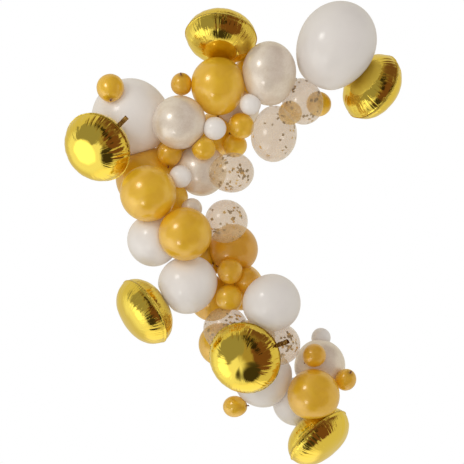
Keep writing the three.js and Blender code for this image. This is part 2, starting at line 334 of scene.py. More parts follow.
# %% A piece from grids
def volume_of(points, quads, fans):
    """Signed volume: the sum over triangles of corner dot (corner cross corner) over six."""
    triangles = np.vstack([quads[:, [0, 1, 2]], quads[:, [0, 2, 3]], fans])
    a, b, c = (points[triangles[:, i]] for i in range(3))
    return np.einsum("ij,ij->i", a, np.cross(b, c)).sum() / 6


def new_object(name, data):
    """An object of a mesh, a light or a camera, placed in the scene."""
    item = bpy.data.objects.new(name, data)
    bpy.context.scene.collection.objects.link(item)
    return item


def make_piece(name, parts, slot, node=None):
    """One object from several closed grids, with smooth faces that point outwards. It rides on
    the garland's one body and may stand for a node. Its slot is not used."""
    points, faces, base = [], [], 0
    for verts, quads, fans in parts:
        if volume_of(verts - verts.mean(0), quads, fans) < 0:
            quads, fans = quads[:, ::-1], fans[:, ::-1]
        points.append(verts)
        faces += (quads + base).tolist() + (fans + base).tolist()
        base += len(verts)
    mesh = bpy.data.meshes.new(name)
    mesh.from_pydata(np.vstack(points).tolist(), [], faces)
    mesh.polygons.foreach_set("use_smooth", np.ones(len(mesh.polygons), bool))
    mesh.update()
    piece = new_object(name, mesh)
    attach(piece, "root")
    if node:
        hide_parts(node)
    return piece


def add_attribute(piece, name, values):
    """Stores a number or a vector for each vertex, for a material to read."""
    values = np.asarray(values, np.float32)
    kind, field = ("FLOAT", "value") if values.ndim == 1 else ("FLOAT_VECTOR", "vector")
    layer = piece.data.attributes.new(name, kind, "POINT")
    layer.data.foreach_set(field, values.ravel())


print("mesh tools:", *(tool.__name__ for tool in (closed_grid, make_piece, add_attribute)))

# %% [markdown]
# ## The latex skin
# A latex balloon is almost a sphere, a little slimmer towards the neck, where it draws in like a
# pear. The rubber at the neck hardly stretches, so it stays thick and dark, and ends in a knot
# with a rolled lip. A sphere with its pole pulled out would give the neck too few rings, so one
# profile carries all of it, from the crown to the lip, with rings where the shape needs them.

# %% The latex profile
NECK_START = math.radians(142)
NECK_SIDE_EXTRA = 0.06
PEAR_TAPER = 0.1
PEAR_MIDDLE = 0.24
LARGE_NECK = dict(throat=5 * MM, knot=8 * MM, length=17 * MM)
MINI_NECK = dict(throat=3.5 * MM, knot=5 * MM, length=10 * MM)
THROAT_DROP, LEAVE_HANDLE, ARRIVE_HANDLE, DRAWN_IN_RINGS = 0.1, 0.52, 0.2, 12
LARGE_GRID, MINI_GRID = (36, 72), (26, 46)
KNOT_SHAPE = np.array([
    # share of the width, share of the length: the throat, the knot, the lip and back inside it
    (1, -0.10), (0.66, -0.2), (0.93, -0.4), (0.86, -0.52), (0.58, -0.62), (0.74, -0.76),
    (1, -0.9), (0.93, -0.985), (0.72, -0.97), (0.5, -0.84), (0.16, -0.7), (0, -0.68),
])


def bezier(start, leave, arrive, end, count):
    """Points of a cubic curve from start to end, with its two handles, without its first point."""
    t = np.linspace(0, 1, count + 1)[1:, None]
    return ((1 - t) ** 3 * start + 3 * t * (1 - t) ** 2 * leave
            + 3 * t ** 2 * (1 - t) * arrive + t ** 3 * end)


def smooth_through(points, per_part):
    """A Catmull-Rom curve through the points, with the ends doubled, without its first point."""
    padded = np.vstack([points[:1], points, points[-1:]])
    t = np.linspace(0, 1, per_part + 1)[1:, None]
    parts = []
    for a, b, c, d in zip(padded[:-3], padded[1:-2], padded[2:-1], padded[3:]):
        parts.append(0.5 * (2 * b + (c - a) * t + (2 * a - 5 * b + 4 * c - d) * t ** 2
                            + (3 * b - a - 3 * c + d) * t ** 3))
    return np.vstack(parts)


def latex_profile(radius, long, neck, rings):
    """Width and height from crown to lip. Down to the neck, at an angle a from the crown, the
    width is radius * sin a * (1 + taper * (middle - ((1 - cos a) / 2) squared)) and the height
    is half the length * cos a; then a curve runs to the throat, and the knot and lip follow."""
    crown, shoulder = radius * long, radius * (long + NECK_SIDE_EXTRA)
    angle = np.linspace(0, NECK_START, rings + 1)
    towards_neck = (1 - np.cos(angle)) / 2
    width = radius * np.sin(angle) * (1 + PEAR_TAPER * (PEAR_MIDDLE - towards_neck ** 2))
    height = np.where(angle < math.pi / 2, crown, shoulder) * np.cos(angle)
    body = np.stack([width, height], 1)
    start = body[-1]
    end = np.array([neck["throat"], -shoulder - THROAT_DROP * neck["length"]])
    slope = (body[-1] - body[-2]) / np.linalg.norm(body[-1] - body[-2])
    reach = np.linalg.norm(end - start)
    leave = start + slope * reach * LEAVE_HANDLE
    arrive = end + np.array([0.1, 1]) * reach * ARRIVE_HANDLE
    drawn_in = bezier(start, leave, arrive, end, DRAWN_IN_RINGS)
    wide = np.where(np.arange(len(KNOT_SHAPE)) < 2, neck["throat"], neck["knot"])
    knot = np.stack([KNOT_SHAPE[:, 0] * wide, KNOT_SHAPE[:, 1] * neck["length"] - shoulder], 1)
    return np.vstack([body, drawn_in, smooth_through(knot, 3)])


print("profile points:", len(latex_profile(large[0]["radius"], 1, LARGE_NECK, LARGE_GRID[0])))

# %% One latex balloon
KNOT_SQUEEZE = 0.12
NECK_PLEATS, NECK_PLEAT_DEPTH = 11, 0.07


def latex_grid(balloon, neck, rings, columns):
    """Rings of the profile round the neck's axis. The knot is squeezed out of round by a wave of
    two round the axis, and fine pleats run from the throat a short way up the skin."""
    profile = latex_profile(balloon["radius"], balloon["long"], neck, rings)
    axis = balloon["axis"]
    side = np.cross(axis, (0.3, 1.0, 0.2))
    side /= np.linalg.norm(side)
    other_side = np.cross(axis, side)
    angle = np.arange(columns) * 2 * math.pi / columns
    around = np.cos(angle)[:, None] * side + np.sin(angle)[:, None] * other_side
    throat = balloon["radius"] * (balloon["long"] + NECK_SIDE_EXTRA)
    past_throat = -(profile[:, 1] + throat) / neck["length"]
    knotted = np.clip(past_throat * 4, 0, 1)[:, None]
    pleats = np.exp(-((past_throat - 0.1) / 0.9) ** 2)[:, None] * np.clip(
        neck["throat"] * 2.2 / np.maximum(profile[:, :1], 1e-6), 0, 1)
    wave = 1 - KNOT_SQUEEZE * knotted * (1 + np.cos(2 * angle + 0.8)) / 2
    folded = (1 + np.cos(NECK_PLEATS * angle + np.sin(angle))) / 2
    wave = wave - NECK_PLEAT_DEPTH * pleats * folded
    width = profile[:, :1] * wave
    rows = (balloon["middle"] + width[:, :, None] * around
            + profile[:, 1][:, None, None] * axis)
    points, quads, fans = closed_grid(rows)
    reached = np.concatenate([past_throat[:1], np.repeat(past_throat[1:-1], columns),
                              past_throat[-1:]])
    return points, quads, fans, reached


print("a big skin has", len(latex_grid(large[0], LARGE_NECK, *LARGE_GRID)[0]), "points")

# %% Thick rubber and deeper tones
THICK_STRETCH, THICK_CURVE = 0.16, 2.2


def thick_rubber(reached, neck, balloon):
    """How thick and dark the rubber is: 0 on the skin, rising to 1 over the last stretch before
    the throat and on the knot."""
    before = reached * neck["length"] / balloon["radius"]
    return np.clip(1 + before / THICK_STRETCH, 0, 1) ** THICK_CURVE


# how far each balloon's colour goes towards its finish's deep tone: partly a real difference, as some
# are blown up less than the rest, and partly painted shade, for balloons in the shade of others or far
# from the lamps on the left
DEEPER_TONE_AND_SHADE = {"gold_waist": 0.6, "gold_low_left": 0.2, "gold_left_back": 0.25, "gold_middle": 0.05,
          "gold_foot": 0.1, "mini_gold_1": 0.3, "mini_gold_6": 0.25, "mini_gold_9": 0.35,
          "mini_gold_10": 0.5, "mini_gold_12": 0.3, "mini_gold_13": 0.2, "white_top_right": 0.5,
          "white_waist_right": 0.4, "white_low": 0.4, "white_foot": 0.3, "mini_white_4": 0.4}
print(len(DEEPER_TONE_AND_SHADE), "balloons have a deeper tone")

# %% All the latex balloons
SLOT_OF = {"gold": "gold_latex", "white": "white_latex", "pearl": "pearl_latex",
           "clear": "clear_latex"}
latex_pieces = {}
for group, neck, grid in ((large, LARGE_NECK, LARGE_GRID), (mini, MINI_NECK, MINI_GRID)):
    for balloon in group:
        name = balloon["name"]
        points, quads, fans, reached = latex_grid(balloon, neck, *grid)
        press_flat(points, balloon)
        piece = make_piece(name + "_skin", [(points, quads, fans)], SLOT_OF[balloon["finish"]],
                           node=name)
        add_attribute(piece, "thick_rubber", thick_rubber(reached, neck, balloon))
        # each balloon's share of the deep tone: partly a real tone, partly painted shade
        add_attribute(piece, "deeper", np.full(len(points), DEEPER_TONE_AND_SHADE.get(name, 0.0)))
        latex_pieces[name] = piece
print(len(latex_pieces), "latex balloons,",
      sum(len(p.data.polygons) for p in latex_pieces.values()), "faces")

# %% [markdown]
# ## The foil skin
# A foil balloon is two flat discs of metallised film, welded at the rim. Blown up, the rim has to
# shorten, so the film folds into sharp pleats that run in from the seam and fade out towards the
# middle. The middle stays smooth and mirrors the room, and the pleats break the mirror up. A bump
# in the material could fake them, but a mirror shows every fold at its edge, so they are shape.

# %% Pleats round the rim
SHORT_PLEATS = dict(count=46, deepest=7.0 * MM, starts=0.45, stops=0.88)
LONG_PLEATS = dict(count=16, deepest=5.5 * MM, starts=0.26, stops=0.62)


def pleat_plan(seed, count, deepest, starts, stops):
    """Where each pleat lies round the rim, how deep, how wide and how far in it runs."""
    random = np.random.default_rng(seed)
    spacing = 2 * math.pi / count
    where = (np.arange(count) + random.uniform(-0.4, 0.4, count)) * spacing
    deep = random.uniform(0.3, 1.0, count) ** 1.3 * deepest
    wide = random.uniform(0.14, 0.34, count) * spacing
    runs_in = random.uniform(starts, stops, count)
    lean = random.uniform(-0.16, 0.16, count)
    return where, deep, wide, runs_in, lean


def all_pleats(seed):
    """Short deep pleats at the seam, and among them a few long shallow ones that run far in. All
    are deepest on the side of the tail, where the stiff valve keeps the film from stretching."""
    short = pleat_plan(seed, **SHORT_PLEATS)
    long = pleat_plan(seed + 500, **LONG_PLEATS)
    where, deep, wide, runs_in, lean = [np.concatenate(pair) for pair in zip(short, long)]
    return where, deep * (0.75 + 0.25 * np.cos(where)), wide, runs_in, lean


def pleat_depth(share, angle, plan):
    """Depth of the folds at a share of the radius and an angle: each pleat is a crease,
    exp(-distance across / width), which starts where it runs in to and is deepest near the seam."""
    total = np.zeros(np.broadcast(share, angle).shape)
    for where, deep, wide, runs_in, lean in zip(*plan):
        across = angle - where - lean * (1 - share)
        across = np.abs((across + math.pi) % (2 * math.pi) - math.pi)
        grown = np.clip((share - runs_in) / (0.97 - runs_in), 0, 1) ** 1.4
        total += deep * grown * np.exp(-across / wide)
    return total


print("a pleat plan of", len(all_pleats(1)[0]), "folds on each side")

# %% One side of the film
FOIL_COLUMNS, SIDE_RINGS, LAST_RING = 420, 46, 0.992
SLOW_SAG, LEAST_HEIGHT, FULL_FOLD_HEIGHT = 1.6 * MM, 0.4 * MM, 30 * MM
FOLD_PULL = 0.25


def half_thickness(share):
    """Half the thickness of blown-up film: fullness * radius * (1 - share^2.6)^0.54, nearly flat
    in the middle and round and steep at the rim."""
    return FOIL_RADIUS * FOIL_FULLNESS * (1 - share ** 2.6) ** 0.54


def film_side(share, angle, plan, slow, sign):
    """Width and height of one side: the bulge, less its folds, which shrink where the bulge is
    low, plus a slow sag. A fold also pulls the film in towards the middle."""
    folds = pleat_depth(share, angle, plan)
    bulge = half_thickness(share) + 0 * angle
    sag = SLOW_SAG * slow * np.sin(math.pi * share) ** 2
    room = np.clip(bulge / FULL_FOLD_HEIGHT, 0.12, 1)
    height = sign * np.maximum(bulge - folds * room + sag, LEAST_HEIGHT)
    width = FOIL_RADIUS * share * (1 + 0 * angle) - FOLD_PULL * folds * share
    return width, height


print("a foil balloon is", round(2000 * half_thickness(0)), "mm thick at its middle")

# %% The two sides and the seam
SEAM_WIDTH = 4.5 * MM
SEAM_THICKNESS = 0.8 * MM
SEAM_SWAY = 0.42 * MM
SEAM_SECTION = ((0, 1), (0.35, 1), (0.7, 1), (1, 0.6), (1, -0.6), (0.7, -1), (0.35, -1), (0, -1))
SLOW_WAVES, SWAY_WAVES = range(2, 9), (9, 13, 17, 23, 31, 40)


def foil_grid(balloon, seed):
    """One closed surface: out over the front, round the crimped seam, which sways from side to
    side, and back over the rear. Also gives each ring's width."""
    angle = np.arange(FOIL_COLUMNS) * 2 * math.pi / FOIL_COLUMNS
    inner = np.sin(np.linspace(0, math.pi / 2, SIDE_RINGS)) ** 0.82
    share = inner[inner < LAST_RING][:, None]
    front_plan, rear_plan = all_pleats(seed), all_pleats(seed + 50)
    random = np.random.default_rng(seed + 100)
    slow = sum(random.uniform(-1, 1) * np.cos(k * angle + random.uniform(0, 6.28)) / k
               for k in SLOW_WAVES)
    sway = sum(random.uniform(-1, 1) * np.cos(k * angle + random.uniform(0, 6.28))
               for k in SWAY_WAVES) * SEAM_SWAY
    front_width, front_height = film_side(share, angle, front_plan, slow, 1)
    rear_width, rear_height = film_side(share, angle, rear_plan, slow, -1)
    pulled = 0.5 * (front_width[-1] + rear_width[-1]) - FOIL_RADIUS * share[-1]
    swayed = sway * share ** 6
    widths, heights = [front_width], [front_height + swayed]
    for out, up in SEAM_SECTION:
        widths.append((FOIL_RADIUS + out * SEAM_WIDTH + pulled * (1 + 0.3 * out))[None])
        heights.append((up * SEAM_THICKNESS / 2 + sway * (1 + 0.6 * out))[None])
    width = np.vstack([*widths, rear_width[::-1]])
    height = np.vstack([*heights, (rear_height + swayed)[::-1]])
    rows = (balloon["middle"]
            + (width * np.cos(angle))[:, :, None] * balloon["along"]
            + (width * np.sin(angle))[:, :, None] * balloon["across"]
            + height[:, :, None] * balloon["axis"])
    return closed_grid(rows), width


print("across the seam:", round(2000 * (FOIL_RADIUS + SEAM_WIDTH)), "mm")

# %% The filling tail
TAIL_LENGTH, TAIL_HALF_WIDTH, TAIL_HALF_THICKNESS = 87 * MM, 12 * MM, 0.7 * MM
TAIL_OVERLAP, TAIL_CREASE, TAIL_CUP = 12 * MM, 0.55 * MM, 2.2 * MM
TAIL_RINGS, TAIL_COLUMNS = 60, 24


def tail_grid(balloon, seed):
    """The filling tail: a flat strip of two welded films, in rings round its length, with cross
    creases from being handled, a pinched start at the seam and a square end."""
    random = np.random.default_rng(seed)
    t = np.linspace(0, 1, TAIL_RINGS)
    creases = sum(random.uniform(0.5, 1) * np.sin(random.uniform(14, 70) * t + random.uniform(0, 6))
                  for _ in range(7)) * TAIL_CREASE
    creases = creases * np.clip(t * 4, 0, 1)
    pinch = 0.8 + 0.2 * np.clip(t * 5, 0, 1)
    wide = TAIL_HALF_WIDTH * pinch * (1 - 0.06 * np.sin(9 * t) ** 2)
    section = np.arange(TAIL_COLUMNS) * 2 * math.pi / TAIL_COLUMNS
    flat = np.sign(np.cos(section)) * np.abs(np.cos(section)) ** 0.35
    thick = np.sign(np.sin(section)) * np.abs(np.sin(section)) ** 0.6
    cup = TAIL_CUP * np.clip(t * 3, 0, 1)
    along = FOIL_RADIUS + SEAM_WIDTH - TAIL_OVERLAP + TAIL_LENGTH * t
    sideways = wide[:, None] * flat
    lift = (creases[:, None] * (1 + 0.5 * flat) + cup[:, None] * (flat ** 2 - 0.4)
            + TAIL_HALF_THICKNESS * thick)
    rows = (balloon["middle"] + along[:, None, None] * balloon["along"]
            + sideways[:, :, None] * balloon["across"] + lift[:, :, None] * balloon["axis"])
    return closed_grid(np.concatenate([rows[:1], rows, rows[-1:]]))


print("tail past the seam:", round((TAIL_LENGTH - TAIL_OVERLAP) / MM), "mm")

# %% [markdown]
# ## What the film's material needs to know
# Crumpling grows towards the seam and its streaks run in from the rim, so the mesh carries two
# attributes for the material: how far out each point is, as a share of the radius, and a place
# that turns quickly round the rim and hardly changes on the way in.

# %% All the foil balloons
TAIL_RIM_SHARE, STREAK_STRETCH, TAIL_STREAKS = 1.2, 0.16, 9
foil_pieces = {}
for number, balloon in enumerate(foils):
    (points, quads, fans), width = foil_grid(balloon, 7 + number)
    press_flat(points, balloon)
    tail_points, tail_quads, tail_fans = tail_grid(balloon, 30 + number)
    press_flat(tail_points, balloon)
    parts = [(points, quads, fans), (tail_points, tail_quads, tail_fans)]
    piece = make_piece(balloon["name"] + "_film", parts, "gold_foil", node=balloon["name"])
    rim = np.concatenate([width[:1].mean(1), width[1:-1].ravel(), width[-1:].mean(1)])
    rim /= FOIL_RADIUS
    tail_rim = np.full(len(tail_points), TAIL_RIM_SHARE)
    add_attribute(piece, "rim_share", np.concatenate([rim, tail_rim]))
    offset = points - balloon["middle"]
    turn = np.arctan2(offset @ balloon["across"], offset @ balloon["along"])
    inwards = STREAK_STRETCH * rim * np.sign(offset @ balloon["axis"])
    swirl = np.stack([np.cos(turn), np.sin(turn), inwards], 1)
    add_attribute(piece, "round_the_rim", np.vstack([swirl, tail_points * TAIL_STREAKS]))
    foil_pieces[balloon["name"]] = piece
print(len(foil_pieces), "foil balloons,",
      sum(len(p.data.polygons) for p in foil_pieces.values()), "faces")

# %% [markdown]
# ## Gold flakes in the clear balloons
# Confetti in a clear balloon clings to the inside of the skin by static, in loose drifts with bare
# patches between. The flakes are rough squares of gold film, 8 to 17 mm along a side, all slightly
# bent. Scattering one instanced flake would be shorter, but an export loses instances, so every
# flake is a small grid of its own, and each clear balloon's flakes are joined into one piece.

# %% One drift of flakes
def drift(directions, towards, spread):
    """How thickly flakes cling in each direction: exp((cos of the angle to the drift - 1) / spread)."""
    towards = np.array(towards, float) / np.linalg.norm(towards)
    return np.exp((directions @ towards - 1) / spread)


print("at the heart of a drift:", drift(np.array([[0, 0, 1.0]]), (0, 0, 1), 0.1)[0])

# %% Flakes on the inside of a skin
FLAKE_INSET, FLAKE_PLACE, FLAKE_HALF_THICKNESS = 0.9 * MM, 0.985, 0.12 * MM
FLAKE_LEAN, FLAKE_RAGGED, BARE_SHARE, TRIES_PER_FLAKE = 0.28, 0.12, 0.03, 60
SQUARE = np.array([(1, 1), (-1, 1), (-1, -1), (1, -1)])


def flake_grid(place, out, size, random):
    """One flake: a thin ragged plate across the way out, bent by a slope along each side, made
    of four rings of four corners that close over its two faces."""
    side = np.cross(out, random.normal(size=3))
    side /= np.linalg.norm(side)
    up = np.cross(out, side)
    lean = random.uniform(-FLAKE_LEAN, FLAKE_LEAN, 2)
    long, wide = size * random.uniform(0.55, 1.15, 2) / 2
    corner = SQUARE * (long, wide)
    corner = corner + random.uniform(-FLAKE_RAGGED, FLAKE_RAGGED, (4, 2)) * size
    bend = (corner[:, 0] * lean[0] + corner[:, 1] * lean[1])[:, None] * out
    flat = place - 0.5 * size * FLAKE_LEAN * out + corner[:, :1] * side + corner[:, 1:] * up + bend
    face = flat * 0.2 + flat.mean(0) * 0.8
    thin = FLAKE_HALF_THICKNESS * out
    return closed_grid(np.stack([face + thin, face + thin, flat + thin, flat - thin,
                                 face - thin, face - thin]))


def flake_parts(balloon, count, drifts, size, seed):
    """Flakes on directions picked by the drifts, each with a random share from 0 to 1 that picks a
    painted dark reflection or its own gold.
    """
    random = np.random.default_rng(seed)
    tries = random.normal(size=(count * TRIES_PER_FLAKE, 3))
    tries /= np.linalg.norm(tries, axis=1)[:, None]
    weight = BARE_SHARE + sum(strength * drift(tries, to_frame(where), spread)
                              for where, spread, strength in drifts)
    kept = tries[random.uniform(size=len(tries)) < weight / weight.max()][:count]
    depth = np.array([balloon["reach"](d) for d in kept]) - FLAKE_INSET
    places = balloon["middle"] + kept * depth[:, None]
    press_flat(places, balloon)
    places = balloon["middle"] + (places - balloon["middle"]) * FLAKE_PLACE
    parts, painted_glints = [], []
    for place, out in zip(places, kept):
        # a random share per flake that picks a painted dark reflection or the flake's gold
        painted_glints.append(random.uniform())
        parts.append(flake_grid(place, out, size, random))
    return parts, np.repeat(painted_glints, [len(points) for points, _, _ in parts])


print("a flake of 14 mm has", len(flake_grid(np.zeros(3), np.array([0, 0, 1.0]), 14 * MM,
                                             np.random.default_rng(0))[0]), "points")

# %% All the flakes
FLAKES = {
    # how many, how large, and the drifts: direction right, out, up; spread; strength
    "confetti_right": (34, 15 * MM, [((0.5, 0.6, -0.6), 0.10, 1), ((-0.6, 0.6, 0.3), 0.06, 0.5)]),
    "confetti_top": (26, 14 * MM, [((0.9, 0.4, 0.1), 0.06, 1), ((0.1, 0.8, 0.6), 0.10, 0.4)]),
    "confetti_middle": (66, 14 * MM, [((0.5, 0.85, -0.1), 0.04, 1), ((-0.1, 0.9, 0.5), 0.12, 0.2),
                                      ((-0.3, 0.8, -0.6), 0.05, 0.3)]),
    "confetti_waist": (44, 14 * MM, [((0.5, 0.8, 0.4), 0.05, 1), ((-0.5, 0.75, -0.5), 0.06, 0.9)]),
    "confetti_low_left": (56, 14 * MM, [((0.4, 0.8, 0.3), 0.10, 1), ((-0.7, 0.7, -0.1), 0.03, 0.6)]),
    "confetti_low_right": (44, 14 * MM, [((0.5, 0.75, 0.2), 0.10, 1)]),
}
by_name = {balloon["name"]: balloon for balloon in balloons}
flake_pieces = []
for number, (name, (count, size, drifts)) in enumerate(FLAKES.items()):
    parts, painted_glints = flake_parts(by_name[name], count, drifts, size, 200 + number)
    piece = make_piece(name + "_flakes", parts, "gold_foil")
    piece.data.polygons.foreach_set("use_smooth", np.zeros(len(piece.data.polygons), bool))
    add_attribute(piece, "painted_glint", painted_glints)
    flake_pieces.append(piece)
print(sum(len(p.data.polygons) for p in flake_pieces), "flake faces")

# %% [markdown]
# ## Tools for materials
# A finish is a few nodes round one Principled BSDF. What is the same all over a surface is set
# straight on the shader, and only what changes over it comes from nodes. Four small tools keep
# each finish short: one adds a node with its values, one joins nodes, one starts a material and
# one makes a ramp.

# %% Node tools
def add_node(tree, kind, inputs=None, **fields):
    """One node in a tree, with its own fields set first and then its plain inputs."""
    node = tree.nodes.new(kind)
    for name, value in fields.items():
        setattr(node, name, value)
    for name, value in (inputs or {}).items():
        node.inputs[name].default_value = value
    return node


def wire(tree, *wires):
    """Joins nodes: each wire is a node and its output, then another node and its input."""
    for source, output, target, entry in wires:
        tree.links.new(source.outputs[output], target.inputs[entry])


def new_material(name, inputs):
    """A material with the shader's plain inputs set. Gives it, its node tree and its shader."""
    material = bpy.data.materials.new(name)
    material.use_nodes = True
    shader = material.node_tree.nodes["Principled BSDF"]
    for label, value in inputs.items():
        shader.inputs[label].default_value = value
    return material, material.node_tree, shader


def add_ramp(tree, low_at, low_colour, high_at, high_colour):
    """A colour ramp from one colour to another."""
    ramp = add_node(tree, "ShaderNodeValToRGB")
    low_end, high_end = ramp.color_ramp.elements
    low_end.position, low_end.color = low_at, (*low_colour, 1)
    high_end.position, high_end.color = high_at, (*high_colour, 1)
    return ramp


print("node tools:", *(tool.__name__ for tool in (add_node, wire, new_material, add_ramp)))

# %% [markdown]
# ## Latex finishes
# Pearl pigment in latex lies in soft clouds that stretch with the skin, so both the gold and the
# pearl white get a slow cloud of tone. The rubber at the neck is hardly stretched, so it is darker.
# Each finish is one material, and the clouds are a node group that the finishes share.

# %% The pigment clouds
def pigment_clouds():
    """Tone: slow clouds plus a finer marbling. Height: the faint orange peel of stretched rubber."""
    tree = bpy.data.node_groups.new("pigment_clouds", "ShaderNodeTree")
    for label, value in (("Cloud Size", 9.0), ("Marbling", 0.4)):
        socket = tree.interface.new_socket(label, in_out="INPUT", socket_type="NodeSocketFloat")
        socket.default_value = value
    for label in ("Tone", "Height"):
        tree.interface.new_socket(label, in_out="OUTPUT", socket_type="NodeSocketFloat")
    given, out = add_node(tree, "NodeGroupInput"), add_node(tree, "NodeGroupOutput")
    where = add_node(tree, "ShaderNodeTexCoord")
    cloud = add_node(tree, "ShaderNodeTexNoise", {"Detail": 2.0, "Distortion": 1.2})
    fine = add_node(tree, "ShaderNodeTexNoise", {"Scale": 46.0, "Detail": 4.0, "Distortion": 2.5})
    peel = add_node(tree, "ShaderNodeTexNoise", {"Scale": 420.0})
    blend = add_node(tree, "ShaderNodeMix")
    for noise in (cloud, fine, peel):
        wire(tree, (where, "Object", noise, "Vector"))
    wire(
        tree,
        (given, "Cloud Size", cloud, "Scale"),
        (given, "Marbling", blend, "Factor"),
        (cloud, "Fac", blend, "A"),
        (fine, "Fac", blend, "B"),
        (blend, "Result", out, "Tone"),
        (peel, "Fac", out, "Height"),
    )
    return tree


clouds = pigment_clouds()
print("node group:", clouds.name)

# %% One latex finish
COAT = {"Coat Roughness": 0.2, "Coat IOR": 1.9}
DARK_UNTIL, LIGHT_FROM = 0.34, 0.66
PEEL_HEIGHT = 0.0004


def latex_material(name, light, dark, deep, neck_tone, marbling, peel, **shader_inputs):
    """Pigment clouds choose between a light and a dark tone, some balloons go a share of the way
    to a deep tone, partly a real difference in stretch and partly painted shade, and thick rubber
    goes to the neck's tone."""
    material, tree, skin = new_material(name, {**shader_inputs, **COAT})
    cloud = add_node(tree, "ShaderNodeGroup", {"Marbling": marbling}, node_tree=clouds)
    tones = add_ramp(tree, DARK_UNTIL, dark, LIGHT_FROM, light)
    # the share of the deep tone stands partly for a real difference in stretch and partly for painted
    # shade
    share = add_node(tree, "ShaderNodeAttribute", attribute_name="deeper")
    deepened_and_shaded = add_node(tree, "ShaderNodeMix", {"B": (*deep, 1)}, data_type="RGBA")
    thick = add_node(tree, "ShaderNodeAttribute", attribute_name="thick_rubber")
    neck = add_node(tree, "ShaderNodeMix", {"B": (*neck_tone, 1)}, data_type="RGBA")
    bump = add_node(tree, "ShaderNodeBump", {"Strength": peel, "Distance": PEEL_HEIGHT})
    wire(
        tree,
        (cloud, "Tone", tones, "Fac"),
        (tones, "Color", deepened_and_shaded, "A"),
        (share, "Fac", deepened_and_shaded, "Factor"),
        (deepened_and_shaded, "Result", neck, "A"),
        (thick, "Fac", neck, "Factor"),
        (neck, "Result", skin, "Base Color"),
        (cloud, "Height", bump, "Height"),
        (bump, "Normal", skin, "Normal"),
    )
    return material


print("latex coat:", COAT)

# %% The gold, white and pearl finishes
# the third colour of each finish is its deep tone, partly a real tone and partly painted shade
gold_latex = latex_material(
    "gold_latex_pearl", (0.88, 0.53, 0.018), (0.80, 0.45, 0.012), (0.62, 0.25, 0.01),
    neck_tone=(0.16, 0.03, 0.008), marbling=0.15, peel=0.06,
    **{"Metallic": 0.25, "Roughness": 0.45, "Coat Weight": 0.75})
white_latex = latex_material(
    "white_latex_plain", (0.84, 0.79, 0.745), (0.81, 0.76, 0.71), (0.70, 0.66, 0.63),
    neck_tone=(0.50, 0.40, 0.32), marbling=0.2, peel=0.06,
    **{"Metallic": 0.0, "Roughness": 0.5, "Coat Weight": 0.4})
pearl_latex = latex_material(
    "pearl_latex_marbled", (0.86, 0.77, 0.66), (0.74, 0.63, 0.51), (0.60, 0.45, 0.30),
    neck_tone=(0.30, 0.19, 0.11), marbling=0.45, peel=0.06,
    **{"Metallic": 0.3, "Roughness": 0.46, "Coat Weight": 0.9})
print("latex finishes:", gold_latex.name, white_latex.name, pearl_latex.name)

# %% [markdown]
# ## The clear skin
# Undyed latex is amber in the dip and goes almost clear as it stretches. Refraction would bend
# what lies behind a thin skin far too much, so it is see-through by the shader's alpha instead.

# %% The clear finish
clear_latex = latex_material(
    "clear_latex_amber", (0.66, 0.48, 0.27), (0.58, 0.40, 0.21), (0.5, 0.35, 0.2),
    neck_tone=(0.18, 0.09, 0.04), marbling=0.3, peel=0.05,
    **{"Metallic": 0.0, "Roughness": 0.25, "Coat Weight": 0.8, "Alpha": 0.5})
print("clear finish:", clear_latex.name)

# %% [markdown]
# ## The mirror film
# Metallised film is a mirror with a gold lacquer. It is smooth in the middle of a balloon, and
# towards the seam it is full of crinkles between the pleats. The weld itself is duller, and the
# filling tail, two films pressed flat, is browner.

# %% The foil finish
def foil_material(name, colour, tail_colour, roughness, crinkle):
    """A gold mirror. Two reliefs are raised only where rim_share says rim: crumpling, a noise over
    the surface, and streaks, a noise that runs fast round the rim and slowly in from it."""
    material, tree, film = new_material(name, {"Metallic": 1.0})
    where = add_node(tree, "ShaderNodeTexCoord")
    fine = add_node(tree, "ShaderNodeTexNoise", {"Scale": 60.0, "Detail": 4.0})
    round_rim = add_node(tree, "ShaderNodeAttribute", attribute_name="round_the_rim")
    streaks = add_node(tree, "ShaderNodeTexNoise", {"Scale": 16.0, "Detail": 3.0})
    both = add_node(tree, "ShaderNodeMix", {"Factor": 0.6})
    share = add_node(tree, "ShaderNodeAttribute", attribute_name="rim_share")
    rim = add_node(tree, "ShaderNodeMapRange", {"From Min": 0.4, "From Max": 1.0})
    raised = add_node(tree, "ShaderNodeMath", operation="MULTIPLY")
    bump = add_node(tree, "ShaderNodeBump", {"Strength": crinkle, "Distance": 0.006})
    dull = add_node(tree, "ShaderNodeMapRange", {"From Min": 0.97, "From Max": 1.01,
                                                 "To Min": roughness, "To Max": roughness + 0.2})
    on_tail = add_node(tree, "ShaderNodeMapRange", {"From Min": 0.99, "From Max": 1.12})
    tone = add_node(tree, "ShaderNodeMix", {"A": (*colour, 1), "B": (*tail_colour, 1)},
                    data_type="RGBA")
    for reader in (rim, dull, on_tail):
        wire(tree, (share, "Fac", reader, "Value"))
    wire(
        tree,
        (where, "Object", fine, "Vector"),
        (round_rim, "Vector", streaks, "Vector"),
        (fine, "Fac", both, "A"),
        (streaks, "Fac", both, "B"),
        (both, "Result", raised, 0),
        (rim, "Result", raised, 1),
        (raised, "Value", bump, "Height"),
        (on_tail, "Result", tone, "Factor"),
        (tone, "Result", film, "Base Color"),
        (bump, "Normal", film, "Normal"),
        (dull, "Result", film, "Roughness"),
    )
    return material


gold_foil = foil_material("gold_foil_mirror", (0.94, 0.72, 0.11), (0.36, 0.20, 0.05), 0.06, 0.6)
print("foil finish:", gold_foil.name)

